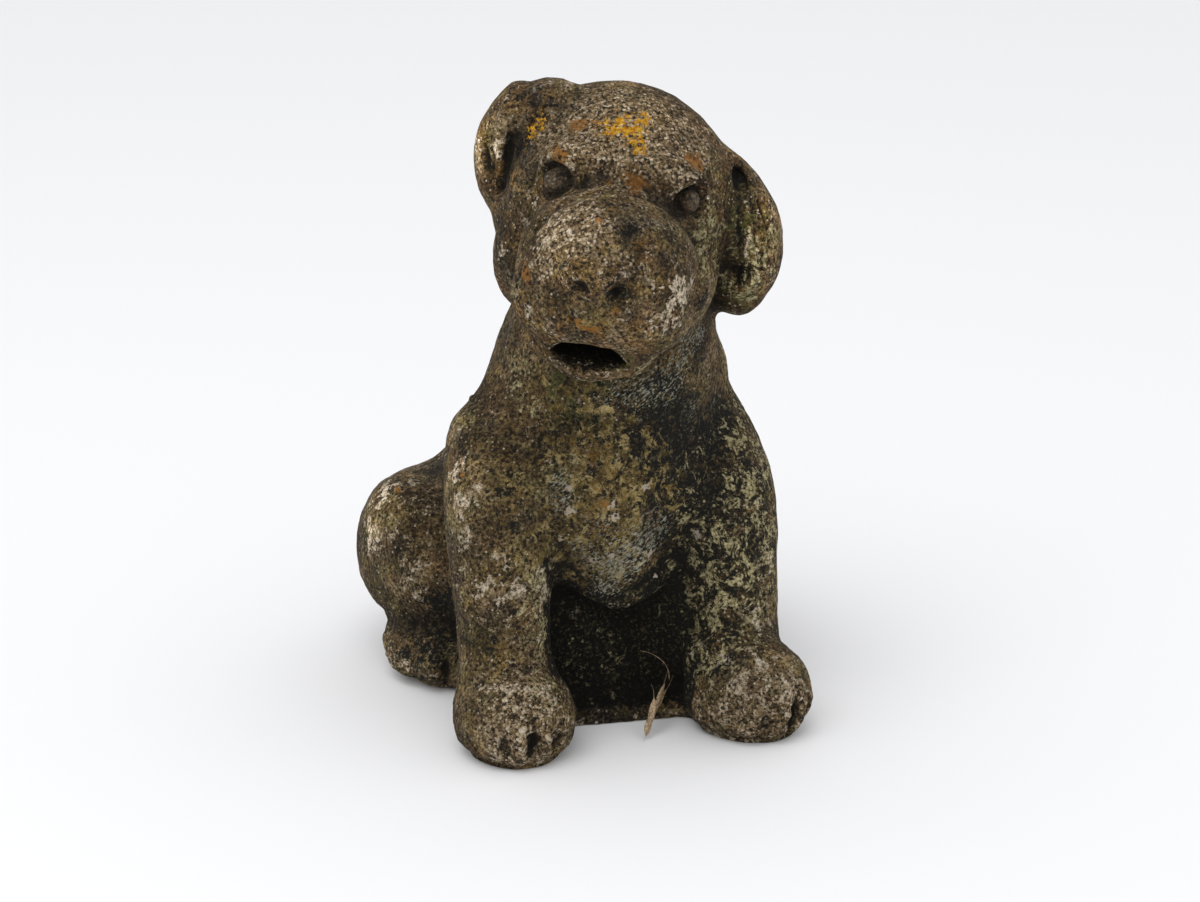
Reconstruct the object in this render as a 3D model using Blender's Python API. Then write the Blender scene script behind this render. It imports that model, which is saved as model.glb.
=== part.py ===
"""Puppy garden statue: one solid casting of a sitting puppy, in weathered cast stone.

The figure looks along -Y, +Z is up and the origin is on the ground at the middle of its box.
It is built the way a modeller builds it: lumps of clay are pressed together into one skin,
smoothed, given smaller lumps, and carved. Lengths in the figure are in parts of its height.
"""

import math

import bmesh
import bpy
from mathutils import Euler, Matrix, Vector

# The driving size, in metres. The figure is 243 parts high, so a part is a millimetre here.
HEIGHT = 0.243
PARTS_HIGH = 243
PART = HEIGHT / PARTS_HIGH

# Grain of the skin at each pressing, in parts, and how often it is smoothed.
MASSES_GRAIN, MASSES_SMOOTHING = 3.0, 16
FORMS_GRAIN, FORMS_SMOOTHING = 2.2, 7
FINE_GRAIN, FINE_SMOOTHING = 1.5, 2
TRIANGLE_LIMIT = 9600

# Forelegs and paws, in parts.
LEG_SPACING = 90
LEG_RADIUS = 18
LEG_DEPTH = -57
ELBOW_HEIGHT = 84
PAW_WIDTH = 46
PAW_LENGTH = 53
PAW_HEIGHT = 37
LEFT_PAW_STEP = 5
LEFT_PAW_SPLAY = 24

# Hindquarters.
HIP_WIDTH = 156
HAUNCH_HEIGHT = 78
FOOT_WIDTH = 44
FOOT_LENGTH = 65
FOOT_HEIGHT = 25

# Toes: the grooves that part them on each foot.
TOE_GROOVE_WIDTH = 5
TOE_GROOVE_HEIGHT = 20

# Head: a ball that carries the muzzle, turned and tilted on the neck.
HEAD_CENTRE = (4.4, -35, 195.5)
HEAD_RADIUS = 45.2
HEAD_TURN = math.radians(-20)
HEAD_NOD = math.radians(4)
HEAD_TILT = math.radians(9)
MUZZLE_WIDTH = 65
MUZZLE_REACH = 50
EYE_SPACING = 51
EYE_FRONT = -34
EYE_HEIGHT = 15.5
EYE_RADIUS = 5.6
EYE_BULGE = 1
SOCKET_DEPTH = 4.5
MOUTH_WIDTH = 31
NOSTRIL_SPACING = 12.4

# The casting.
STONE_COLOUR = (0.16, 0.14, 0.10, 1)
STONE_ROUGHNESS = 0.9


def clear_scene():
    for obj in list(bpy.data.objects):
        bpy.data.objects.remove(obj)


def lump(clay, centre, radii, turn=(0, 0, 0), frame=Matrix()):
    """Adds an ellipsoid to the clay; centre and radii in parts, turn in degrees."""
    angles = Euler([math.radians(a) for a in turn])
    placed = Matrix.Translation(Vector(centre) * PART) @ angles.to_matrix().to_4x4()
    size = Matrix.Diagonal([r * PART for r in radii] + [1])
    finer = 4 if max(radii) > 30 else 3
    bmesh.ops.create_icosphere(clay, subdivisions=finer, radius=1, matrix=frame @ placed @ size)


def smooth_between(values, share):
    """A value on the smooth curve through evenly spaced values; share runs from 0 to 1."""
    place = share * (len(values) - 1)
    i = min(int(place), len(values) - 2)
    t = place - i
    before = values[max(i - 1, 0)]
    after = values[min(i + 2, len(values) - 1)]
    a, b = values[i], values[i + 1]
    return 0.5 * (2 * a + (b - before) * t + (2 * before - 5 * a + 4 * b - after) * t**2
                  + (3 * a - before - 3 * b + after) * t**3)


def coil(clay, points, radii, frame=Matrix(), flat=(1, 1, 1), turn=(0, 0, 0)):
    """Adds a roll of clay along a smooth path, its radius changing from point to point."""
    points = [Vector(p) for p in points]
    length = sum((b - a).length for a, b in zip(points, points[1:]))
    count = max(2, round(length / (0.35 * min(radii))))
    for k in range(count + 1):
        share = k / count
        radius = smooth_between(radii, share)
        lump(clay, smooth_between(points, share), [radius * f for f in flat], turn, frame)


def press(clay, name, grain, passes):
    """One skin round all the lumps: a voxel remesh, then passes of smoothing over the joints."""
    mesh = bpy.data.meshes.new(name)
    clay.to_mesh(mesh)
    clay.free()
    obj = bpy.data.objects.new(name, mesh)
    bpy.context.collection.objects.link(obj)
    skin = obj.modifiers.new("skin", "REMESH")
    skin.mode = "VOXEL"
    skin.voxel_size = grain * PART
    skin.use_smooth_shade = True
    smooth = obj.modifiers.new("smooth", "SMOOTH")
    smooth.factor = 0.5
    smooth.iterations = passes
    return obj


def take_clay(obj):
    """The pressed skin as clay again, ready for smaller lumps."""
    graph = bpy.context.evaluated_depsgraph_get()
    clay = bmesh.new()
    clay.from_object(obj, graph)
    bpy.data.objects.remove(obj)
    return clay


def cut(obj, cutter, name):
    """Takes the cutter's shape off an object with a Boolean, and hides the cutter."""
    cutter.hide_render = True
    cutter.display_type = "WIRE"
    knife = obj.modifiers.new(name, "BOOLEAN")
    knife.operation = "DIFFERENCE"
    knife.object = cutter


def torso(clay):
    """Chest, ribs and rump, and the stone under belly and rump that carries them."""
    lump(clay, (0, -27, 92), (54, 42, 46))
    lump(clay, (1, -26, 118), (46, 37, 33))
    lump(clay, (0, 3, 84), (46, 50, 45), (-20, 0, 0))
    lump(clay, (0, 31, 52), (54, 54, 46))
    lump(clay, (-2, -17, 36), (50, 30, 50))
    lump(clay, (26, -34, 36), (19, 20, 48))
    lump(clay, (0, -26, 10), (44, 22, 22))
    lump(clay, (2, 44, 12), (52, 33, 22))


def neck(clay):
    coil(clay, [(3, -26, 128), (6, -30, 152), (6.5, -33, 176)], [42.5, 37.5, 35])
    lump(clay, (30, -27, 126), (21, 22, 22))


def foreleg(clay, side):
    x = side * LEG_SPACING / 2
    coil(clay, [(x * 0.84, LEG_DEPTH + 28, 104), (x * 0.97, LEG_DEPTH + 12, ELBOW_HEIGHT),
                (x, LEG_DEPTH + 3, 50), (x, LEG_DEPTH, 22)],
         [22, LEG_RADIUS + 3, LEG_RADIUS + 0.5, LEG_RADIUS])


def haunch(clay, side):
    """The thigh: a broad oval on the ground side, with a squarer lump that fills its top."""
    x = side * HIP_WIDTH / 2
    lump(clay, (x - side * 30, 35, HAUNCH_HEIGHT / 2 + 5), (30, 40, HAUNCH_HEIGHT / 2 - 6))
    lump(clay, (x - side * 23, 30, HAUNCH_HEIGHT - 19), (21, 28, 18))


def paw_frame(side):
    """Where a forepaw stands: under its leg, the left one a step forward and splayed."""
    splay = math.radians(LEFT_PAW_SPLAY) if side > 0 else 0
    step = LEFT_PAW_STEP if side > 0 else 0
    place = Vector((side * LEG_SPACING / 2, LEG_DEPTH - 11 - step, 0)) * PART
    return Matrix.Translation(place) @ Matrix.Rotation(splay, 4, "Z")


def paw(clay, frame):
    lump(clay, (0, 0, PAW_HEIGHT * 0.36), (PAW_WIDTH / 2, PAW_LENGTH / 2, PAW_HEIGHT * 0.6),
         frame=frame)
    lump(clay, (0, PAW_LENGTH * 0.16, PAW_HEIGHT * 0.62),
         (PAW_WIDTH * 0.42, PAW_LENGTH * 0.36, PAW_HEIGHT * 0.5), frame=frame)


def foot_frame(side):
    place = Vector((side * (HIP_WIDTH / 2 - 28), 18, 0)) * PART
    return Matrix.Translation(place)


def hind_foot(clay, frame):
    lump(clay, (0, 0, FOOT_HEIGHT * 0.42), (FOOT_WIDTH / 2, FOOT_LENGTH / 2, FOOT_HEIGHT * 0.58),
         frame=frame)


def chest(clay):
    """The bib of chest fur, and the ridge where it ends in a V over the recess."""
    coil(clay, [(0, -46, 108), (0, -50, 86), (0, -53, 66)], [26, 21, 13], flat=(1.2, 0.9, 1))
    coil(clay, [(-28, -45, 72), (-14, -51, 61), (0, -55, 52), (15, -51, 59), (28, -46, 69)],
         [8, 8, 7, 8, 8])


def ledge(clay):
    """The lip of the casting that ties the paws together at the ground."""
    coil(clay, [(-LEG_SPACING / 2, -48, 2), (0, -53, 2), (LEG_SPACING / 2, -56, 2)], [6, 5.5, 6])
    lump(clay, (0, -40, 0), (40, 12, 5))


def tail(clay):
    """The tail lies on the ground from the rump round to the left haunch."""
    coil(clay, [(-2, 68, 30), (6, 77, 15), (26, 78, 10), (46, 70, 9), (61, 54, 9)],
         [14, 12, 11, 10, 8])


def head_frame():
    turn = Matrix.Rotation(HEAD_TURN, 4, "Z")
    nod = Matrix.Rotation(HEAD_NOD, 4, "X")
    tilt = Matrix.Rotation(HEAD_TILT, 4, "Y")
    return Matrix.Translation(Vector(HEAD_CENTRE) * PART) @ turn @ nod @ tilt


def muzzle(clay, frame):
    """A ball with two flews under it, and the thin crescent of the lower jaw."""
    lump(clay, (0.5, -MUZZLE_REACH, -9), (MUZZLE_WIDTH / 2, 31, 29), frame=frame)
    for side in (-1, 1):
        lump(clay, (0.5 + side * 13, -MUZZLE_REACH - 4, -20), (20, 22, 16), frame=frame)
    lump(clay, (0, -46, -37), (25, 23, 11), frame=frame)


def face(clay, frame):
    """Cheeks, and low brows between the eyes and the crown."""
    for side in (-1, 1):
        lump(clay, (side * 26.5, -18, -18), (15, 18, 21), frame=frame)
        lump(clay, (side * 17, -30, 24), (13, 9, 7), (0, side * 14, side * 26), frame)


def ears(clay, frame):
    """The right ear is lifted and folds at the back of its lobe; the left one hangs."""
    lump(clay, (-30, -3, 33), (14, 11, 10.5), (0, -30, 0), frame)
    coil(clay, [(-40, 2, 29), (-46, 4, 16), (-46, 4, 5), (-42.5, 2, -5)], [11, 12, 10, 6],
         frame, flat=(0.65, 1.3, 1))
    coil(clay, [(36, 0, 20), (46, 2, 8), (53, 4, -9), (51, 4, -22)], [8, 12, 16, 14],
         frame, flat=(0.72, 1.3, 1))


def nose(clay, frame):
    lump(clay, (-2.5, -76.5, -4), (14.5, 6.5, 9), frame=frame)


def on_head(side, depth):
    """A point under an eye's place on the head's ball, and the turn that faces outward there."""
    outward = Vector((side * EYE_SPACING / 2, EYE_FRONT, EYE_HEIGHT)).normalized()
    return outward * (HEAD_RADIUS - depth), (0, 0, math.degrees(math.atan2(outward.x, -outward.y)))


def eyes(clay, frame):
    for side in (-1, 1):
        centre, turn = on_head(side, EYE_RADIUS - EYE_BULGE)
        lump(clay, centre, [EYE_RADIUS] * 3, turn, frame)


def face_cuts(clay, frame):
    """What the modeller cuts away on the face: eye sockets, nostrils and the mouth."""
    for side in (-1, 1):
        centre, turn = on_head(side, -1)
        lump(clay, centre, (10.5, SOCKET_DEPTH + 1, 7.8), turn, frame)
        lump(clay, (-2.5 + side * NOSTRIL_SPACING / 2, -83, -5), (2.8, 4, 3.2), frame=frame)
    lump(clay, (-2, -71, -35.5), (MOUTH_WIDTH / 2, 14, 5.6), frame=frame)


def ear_cuts(clay, frame):
    """Grooves down each ear flap, and the fold where each ear leaves the head."""
    for k in range(3):
        lump(clay, (-51 + 2.6 * k, -9, 12), (1.2, 4.5, 15), (0, -6, 0), frame)
        lump(clay, (49 + 5 * k, -18, -10), (1.3, 5, 15), (0, 12, 0), frame)
    lump(clay, (43, -9, 20), (3, 6, 6), frame=frame)
    lump(clay, (-41, -14, 14), (2.4, 6, 20), (0, 4, 0), frame)


def toe_cuts(clay, frame, width, length, count):
    """The grooves between the toes, evenly spread over the front of a foot."""
    for k in range(count):
        x = width * ((k + 1) / (count + 1) - 0.5) * 0.86
        y = -length / 2 * math.sqrt(1 - (2 * x / width)**2)
        lump(clay, (x, y, TOE_GROOVE_HEIGHT / 2 - 2),
             (TOE_GROOVE_WIDTH / 2, 6, TOE_GROOVE_HEIGHT / 2), frame=frame)


def block_below_ground():
    """What lies under the ground, cut off the casting so that it stands flat."""
    mesh = bpy.data.meshes.new("below_ground")
    cube = bmesh.new()
    bmesh.ops.create_cube(cube, size=2 * HEIGHT, matrix=Matrix.Translation((0, 0, -HEIGHT)))
    cube.to_mesh(mesh)
    cube.free()
    block = bpy.data.objects.new("below_ground", mesh)
    bpy.context.collection.objects.link(block)
    return block


def build_masses():
    """The big lumps, smoothed hard so that one flows into the next."""
    clay = bmesh.new()
    torso(clay)
    neck(clay)
    for side in (-1, 1):
        foreleg(clay, side)
        haunch(clay, side)
    lump(clay, HEAD_CENTRE, [HEAD_RADIUS] * 3)
    return press(clay, "masses", MASSES_GRAIN, MASSES_SMOOTHING)


def build_forms(masses, head):
    """Paws, feet, tail, muzzle and ears on the masses, smoothed less, then carved."""
    clay = take_clay(masses)
    chest(clay)
    ledge(clay)
    tail(clay)
    for side in (-1, 1):
        paw(clay, paw_frame(side))
        hind_foot(clay, foot_frame(side))
    muzzle(clay, head)
    face(clay, head)
    ears(clay, head)
    forms = press(clay, "forms", FORMS_GRAIN, FORMS_SMOOTHING)
    cuts = bmesh.new()
    face_cuts(cuts, head)
    ear_cuts(cuts, head)
    for side in (-1, 1):
        toe_cuts(cuts, paw_frame(side), PAW_WIDTH, PAW_LENGTH, 3)
        toe_cuts(cuts, foot_frame(side), FOOT_WIDTH, FOOT_LENGTH, 2)
    cut(forms, press(cuts, "carving", FINE_GRAIN * 0.6, 0), "carve")
    return forms


def build_statue(forms, head):
    """Nose and eyes on the forms, one fine skin over all, thinned, and cut level below."""
    clay = take_clay(forms)
    nose(clay, head)
    eyes(clay, head)
    skin = take_clay(press(clay, "skin", FINE_GRAIN, FINE_SMOOTHING))
    bmesh.ops.triangulate(skin, faces=skin.faces)
    mesh = bpy.data.meshes.new("puppy_statue")
    skin.to_mesh(mesh)
    skin.free()
    statue = bpy.data.objects.new("puppy_statue", mesh)
    bpy.context.collection.objects.link(statue)
    thin = statue.modifiers.new("thin", "DECIMATE")
    thin.ratio = min(1, TRIANGLE_LIMIT / len(mesh.polygons))
    cut(statue, block_below_ground(), "level")
    return statue


def centre_on_ground(statue):
    """Moves the figure so that the middle of its box stands over the origin."""
    graph = bpy.context.evaluated_depsgraph_get()
    corners = [Vector(c) for c in statue.evaluated_get(graph).bound_box]
    for axis in (0, 1):
        side = [c[axis] for c in corners]
        statue.location[axis] -= (min(side) + max(side)) / 2


def stone():
    material = bpy.data.materials.new("weathered_cast_stone")
    material.use_nodes = True
    shader = material.node_tree.nodes["Principled BSDF"]
    shader.inputs["Base Color"].default_value = STONE_COLOUR
    shader.inputs["Roughness"].default_value = STONE_ROUGHNESS
    shader.inputs["Metallic"].default_value = 0
    return material


def main():
    clear_scene()
    head = head_frame()
    masses = build_masses()
    forms = build_forms(masses, head)
    statue = build_statue(forms, head)
    centre_on_ground(statue)
    statue.data.materials.append(stone())


main()
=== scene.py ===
import math

import bmesh
import bpy
import numpy as np
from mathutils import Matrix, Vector


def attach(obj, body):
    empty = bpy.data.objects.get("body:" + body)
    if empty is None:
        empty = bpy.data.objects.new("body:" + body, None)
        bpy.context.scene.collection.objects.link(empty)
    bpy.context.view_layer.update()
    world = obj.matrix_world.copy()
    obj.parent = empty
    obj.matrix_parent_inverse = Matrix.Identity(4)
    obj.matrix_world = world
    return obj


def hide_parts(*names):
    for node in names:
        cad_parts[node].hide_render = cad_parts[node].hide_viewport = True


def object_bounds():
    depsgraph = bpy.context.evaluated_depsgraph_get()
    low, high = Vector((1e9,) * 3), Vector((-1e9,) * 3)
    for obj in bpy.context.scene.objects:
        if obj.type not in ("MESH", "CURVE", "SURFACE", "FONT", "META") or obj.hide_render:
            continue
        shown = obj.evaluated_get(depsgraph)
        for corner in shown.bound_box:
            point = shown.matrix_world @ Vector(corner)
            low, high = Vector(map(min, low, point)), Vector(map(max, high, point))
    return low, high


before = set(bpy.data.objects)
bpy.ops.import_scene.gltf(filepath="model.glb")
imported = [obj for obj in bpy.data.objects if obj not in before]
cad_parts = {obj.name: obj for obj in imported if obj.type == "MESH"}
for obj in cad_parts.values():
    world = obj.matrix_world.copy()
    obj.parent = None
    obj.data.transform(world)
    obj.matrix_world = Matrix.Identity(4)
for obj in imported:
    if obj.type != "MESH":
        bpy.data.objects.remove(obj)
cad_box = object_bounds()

# The casting
# A sitting puppy poured solid from sand and cement in one mould, and set down on its flat underside.
# Its form is the frame's solid, taken to an even skin of small faces and worn smooth, and then carved
# and weathered point by point. Lengths in this section are in millimetres.
MILLIMETRE = 0.001
SKIN_GRAIN = 0.8
SKIN_SMOOTHING = 10
SKIN_FACES = 190000


def even_skin(node):
    """A copy of the node's mesh, its loose triangles joined, remade as even small squares and smoothed."""
    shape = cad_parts[node].data.copy()
    shape.materials.clear()
    joined = bmesh.new()
    joined.from_mesh(shape)
    bmesh.ops.remove_doubles(joined, verts=joined.verts, dist=0.01 * MILLIMETRE)
    joined.to_mesh(shape)
    joined.free()
    blank = bpy.data.objects.new("blank", shape)
    bpy.context.scene.collection.objects.link(blank)
    squares = blank.modifiers.new("squares", "REMESH")
    squares.mode = "VOXEL"
    squares.voxel_size = SKIN_GRAIN * MILLIMETRE
    wear = blank.modifiers.new("wear", "SMOOTH")
    wear.factor = 0.5
    wear.iterations = SKIN_SMOOTHING
    depsgraph = bpy.context.evaluated_depsgraph_get()
    skin = bpy.data.meshes.new_from_object(blank.evaluated_get(depsgraph))
    bpy.data.objects.remove(blank)
    return skin


def points_of(mesh):
    """The mesh's vertices as an array of millimetres, one row a vertex."""
    flat = np.empty(len(mesh.vertices) * 3, np.float32)
    mesh.vertices.foreach_get("co", flat)
    return flat.reshape(-1, 3).astype(float) / MILLIMETRE


def normals_of(mesh):
    """The outward direction at each vertex, one row a vertex."""
    flat = np.empty(len(mesh.vertices) * 3, np.float32)
    mesh.vertex_normals.foreach_get("vector", flat)
    return flat.reshape(-1, 3).astype(float)


skin = even_skin("puppy_statue")
points = points_of(skin)
outward = normals_of(skin)


def bell(distance, reach):
    """1 at no distance, and exp(-(distance / reach) squared) further off."""
    return np.exp(-(np.asarray(distance) / reach) ** 2)


def step(value, low, high):
    """0 at low, 1 at high, and a smooth step between them, whichever of the two is greater."""
    part = np.clip((value - low) / (high - low), 0, 1)
    return part * part * (3 - 2 * part)


def distance_from(where, centre):
    """Straight distance of every point from one centre."""
    return np.sqrt(((where - np.array(centre, float)) ** 2).sum(1))


def curve_through(stops, steps=10):
    """Catmull-Rom curve through the stops: each span blends its four nearest stops by cubics in t."""
    stops = np.array(stops, float)
    ends = np.vstack([2 * stops[0] - stops[1], stops, 2 * stops[-1] - stops[-2]])
    t = np.linspace(0, 1, steps, endpoint=False)[None, :, None]
    before, start, end, after = (ends[k:len(ends) - 3 + k, None, :] for k in range(4))
    line = 0.5 * (2 * start + (end - before) * t
                  + (2 * before - 5 * start + 4 * end - after) * t ** 2
                  + (3 * start - before - 3 * end + after) * t ** 3)
    return np.vstack([line.reshape(-1, 3), stops[-1]])


def distance_to_line(where, stops, margin=9):
    """Least distance from every point to the curve through the stops, and 99 outside its margin."""
    line = curve_through(stops)
    low, high = line.min(0) - margin, line.max(0) + margin
    near = np.flatnonzero(((where > low) & (where < high)).all(1))
    distance = np.full(len(where), 99.0)
    gaps = where[near, None, :] - line[None, :, :]
    distance[near] = np.sqrt((gaps ** 2).sum(2)).min(1)
    return distance


def cloud(where, size, seed, layers=1):
    """Random values from -1 to 1 on a cubic lattice, blended with smooth steps.
    Each further layer is half the size and half as strong."""
    total, weight = np.zeros(len(where)), 0.0
    for layer in range(layers):
        lattice = np.random.default_rng(seed + layer).uniform(-1, 1, (32, 32, 32))
        place = where / (size / 2 ** layer) + 100
        cell = np.floor(place).astype(int)
        part = place - cell
        part = part * part * (3 - 2 * part)
        value = np.zeros(len(where))
        for corner in range(8):
            side = np.array([corner & 1, corner >> 1 & 1, corner >> 2 & 1])
            share = np.prod(np.where(side, part, 1 - part), axis=1)
            i, j, k = ((cell + side) % 32).T
            value += share * lattice[i, j, k]
        total += value / 2 ** layer
        weight += 0.5 ** layer
    return total / weight


# Carving: the grooves and swellings of the mould, as lines and spots on the skin. Each groove is a curve
# with its half width and depth, less than 0 for a ridge. Each swelling or pit is a centre with its reach
# and height. The toes are grooves at three places across each paw.
HEAD_CENTRE = np.array((4.35, -23.15, 195.5))
HEAD_TURN, HEAD_NOD, HEAD_TILT = -20, 4, 9
GROOVES = (
    (((-49, -66, 172), (-47, -67, 182), (-43, -67, 194), (-36, -68, 203)), 2.6, 2.4),
    (((-32, -68, 207), (-23, -70, 210), (-10, -70, 211), (4, -72, 207), (14, -71, 198), (21, -65, 188)),
     3.0, 1.3),
    (((-38, -66, 158), (-41, -64, 163), (-44, -62, 168)), 1.6, 1.2),
    (((-8, -81, 151), (2, -74, 151), (10, -64, 152), (18, -56, 156)), 1.6, 1.2),
    (((-35, -23, 222), (-35, -21, 216), (-36, -20, 211), (-38, -20, 205)), 1.5, 1.8),
    (((-33, -18, 238), (-37, -20, 230), (-39, -19, 220), (-39, -18, 211), (-40, -17, 205)), 1.3, -1.3),
    (((-41, -13, 226), (-41, -14, 214), (-41, -16, 204)), 0.9, 1.2),
    (((-43, -9, 224), (-43, -10, 214), (-42, -12, 204)), 0.9, 0.8),
    (((-34, -26, 223), (-34, -27, 214), (-37, -27, 206)), 3.4, 1.5),
    (((46, -44, 209), (47, -49, 201), (48, -53, 189), (47, -53, 180), (46, -53, 172)), 1.3, 2.2),
    (((51, -50, 199), (53, -52, 188), (53, -53, 177)), 1.1, 1.8),
    (((43, -49, 200), (43, -51, 190), (42, -51, 178), (41, -50, 170)), 1.8, 1.8),
    (((49, -51, 197), (50.5, -54, 187), (50.5, -54, 175)), 0.8, 1.3),
    (((55, -49, 193), (56, -51, 184), (56, -52, 176)), 0.8, 0.6),
    (((-31, -52, 70), (-20, -47, 64), (-12, -48, 56), (-6, -49, 52), (2, -49, 54), (12, -48, 60)),
     1.6, 1.0),
    (((-37, -70, 152), (-30, -73, 148), (-20, -78, 146), (-8, -79, 146), (2, -74, 147)), 1.5, -1.0),
    (((-33, -95, 190), (-27, -97, 192), (-20, -98, 193), (-12, -99, 190)), 1.2, 0.6),
    (((-27, -99, 182), (-27, -98, 175), (-26, -95, 168), (-24, -91, 163)), 1.1, 0.8),
)
SWELLINGS = (
    ((-32.4, -96.2, 184.3), 3.0, -3.8), ((-19.8, -100.5, 182.9), 3.0, -4.2),
    ((-26, -98.5, 187), 4.0, 1.0), ((-12.5, -91.4, 202.3), 3.6, -1.5),
    ((-38.4, -18.4, 203.4), 2.4, -2.6), ((45.1, -43.5, 209.2), 2.8, -2.6), ((42, -50, 172), 3.2, -1.8),
    ((-47.3, -13.0, 122.9), 1.6, 1.4), ((46.8, -54.5, 81.0), 0.9, -1.2),
    ((-26.5, -48.8, 220.4), 4.4, 0.9), ((22.2, -62.5, 213.6), 4.8, 0.9),
    ((-31, -97, 177), 5.5, 0.8), ((-18, -99, 176), 5.5, 0.8),
    ((45, -22, 136), 14, 1.7), ((49, -49, 160), 6, -1.6), ((-42, -34, 172), 8, -1.0),
    ((-34, -7, 148), 7, -1.5), ((-44, -11, 210), 7, -1.2), ((-49, 45, 79), 10, -1.6),
    ((-26, -100, 183), 2.2, -1.4), ((-36, -93, 189), 1.4, -1.2), ((-23, -100, 190), 1.3, -1.1),
    ((-14, -100, 188), 1.4, -1.2), ((-30, -96, 179), 1.2, -0.9), ((-17, -101, 178), 1.3, -0.8),
    ((-33, -94, 193), 2.4, 0.8), ((-18, -99, 193), 2.6, 0.8), ((-39, -88, 181), 1.2, -0.9),
    ((-72, 22, 8), 9, 1.4), ((-71, 39, 70), 7, 0.8), ((-41, -55, 198), 5, 1.2),
)
EYES = (((-26.6, -51.0, 212.4), 4.6), ((19.6, -65.0, 204.8), 4.1))
EYE_DOME, EYE_GROOVE, EYE_GROOVE_WIDTH, EYE_LID = 1.8, 1.1, 1.5, 1.2
MOUTH_CENTRE, MOUTH_HALF, MOUTH_TOP, MOUTH_BOTTOM, MOUTH_DEPTH = (-1.2, -37.0), 13.8, 5.4, 4.4, 10
CHIN, CHIN_REACH, CHIN_RISE = (-3, -66, -45), 8.5, 2.4
PAWS = (((45, -61.15), 24, 1.4), ((-45, -56.15), 0, 0.45),
        ((50, 29.85), 12, 0.9), ((-50, 29.85), -12, 0.9))
TOE_PLACES, TOE_WIDTH = (-11.5, 0.5, 12), 1.6
RIM_WEAR, RIM_HEIGHT = 2.2, 6


def head_axes():
    """The head's three directions as columns: turned about Z, then about X, then about Y."""
    z, x, y = (math.radians(angle) for angle in (HEAD_TURN, HEAD_NOD, HEAD_TILT))
    about_z = np.array(((math.cos(z), -math.sin(z), 0), (math.sin(z), math.cos(z), 0), (0, 0, 1)))
    about_x = np.array(((1, 0, 0), (0, math.cos(x), -math.sin(x)), (0, math.sin(x), math.cos(x))))
    about_y = np.array(((math.cos(y), 0, math.sin(y)), (0, 1, 0), (-math.sin(y), 0, math.cos(y))))
    return about_z @ about_x @ about_y


def carved(where):
    """Height of the carving: the sum of grooves and spots as bells, and at each eye a dome as the root of
    1 less (distance / radius) squared, with a ring and a lid as bells round it."""
    height = np.zeros(len(where))
    for stops, reach, depth in GROOVES:
        height -= depth * bell(distance_to_line(where, stops), reach)
    for centre, reach, rise in SWELLINGS:
        height += rise * bell(distance_from(where, centre), reach)
    for centre, radius in EYES:
        away = distance_from(where, centre)
        height += EYE_DOME * np.sqrt(np.clip(1 - (away / radius) ** 2, 0, 1))
        above = np.clip((where[:, 2] - centre[2]) / (radius + 2), -1, 1)
        height -= EYE_GROOVE * (1 + 0.45 * above) * bell(away - radius - 1.2, EYE_GROOVE_WIDTH)
        height += EYE_LID * (1 + 0.6 * above) * bell(away - radius - 4.2, 1.6)
    chin = HEAD_CENTRE + head_axes() @ np.array(CHIN)
    height += CHIN_RISE * bell(distance_from(where, chin), CHIN_REACH)
    for (x, y), turn, depth in PAWS:
        angle = math.radians(turn)
        across = (where[:, 0] - x) * math.cos(angle) + (where[:, 1] - y) * math.sin(angle)
        ahead = (where[:, 0] - x) * math.sin(angle) - (where[:, 1] - y) * math.cos(angle)
        fade = step(ahead, 4, 12) * step(-where[:, 2], -27, -14) * (np.abs(across) < 26) * (ahead < 40)
        for place in TOE_PLACES:
            height -= depth * bell(across - place * (0.75 + 0.012 * ahead), TOE_WIDTH) * fade
    return height


def worn_rim(where):
    """How far the foot of the casting is worn back at its rim: most at the ground, and less at the lip
    between the paws."""
    lip = (np.abs(where[:, 0]) < 27) * (where[:, 1] < -35)
    return RIM_WEAR * np.where(lip, 0.4, 1) * step(-where[:, 2], -RIM_HEIGHT, 0)


def in_mouth(where, edge):
    """1 inside the mouth as seen along the head, between a high upper arc and a low lower one, and 0
    outside it, with a soft edge of the given width."""
    local = (where - HEAD_CENTRE) @ head_axes()
    along = (local[:, 0] - MOUTH_CENTRE[0]) / MOUTH_HALF
    arch = np.clip(1 - along ** 2, 0, 1) ** 0.7
    above = MOUTH_CENTRE[1] + MOUTH_TOP * arch * (1 - 0.3 * along) - local[:, 2]
    below = local[:, 2] - MOUTH_CENTRE[1] + MOUTH_BOTTOM * arch
    return step(np.minimum(above, below), 0, edge) * (np.abs(along) < 1) * (local[:, 1] < -44)


points[:, :2] -= worn_rim(points)[:, None] * outward[:, :2]
points += carved(points)[:, None] * outward
points += MOUTH_DEPTH * in_mouth(points, 1.6)[:, None] * head_axes()[:, 1]

# Weather: long washing has left the skin uneven, has eaten the cement from between the grains on the
# head, the muzzle and the paws, and has opened the air holes of the casting.
WASHED = (
    (-8, -46, 232, 26, 1), (-21, -41, 228, 15, .9), (7, -56, 225, 19, .9), (-6, -61, 217, 15, 1),
    (22, -55, 221, 11, .6), (-36, -81, 200, 12, 1), (-27, -81, 207, 10, 1), (-23, -92, 200, 13, .6),
    (-47, -73, 30, 15, .9), (-50, -81, 14, 15, 1), (-38, -80, 20, 13, 1), (42, -83, 23, 16, .9),
    (34, -82, 11, 13, .9), (53, -85, 18, 11, .9), (24, -68, 15, 9, .5), (-62, 13, 52, 11, .5),
    (-57, 16, 25, 9, .5), (-57, -54, 59, 11, .3), (-11, -99, 190, 9, .4), (-41, -81, 192, 7, .7),
)
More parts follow.
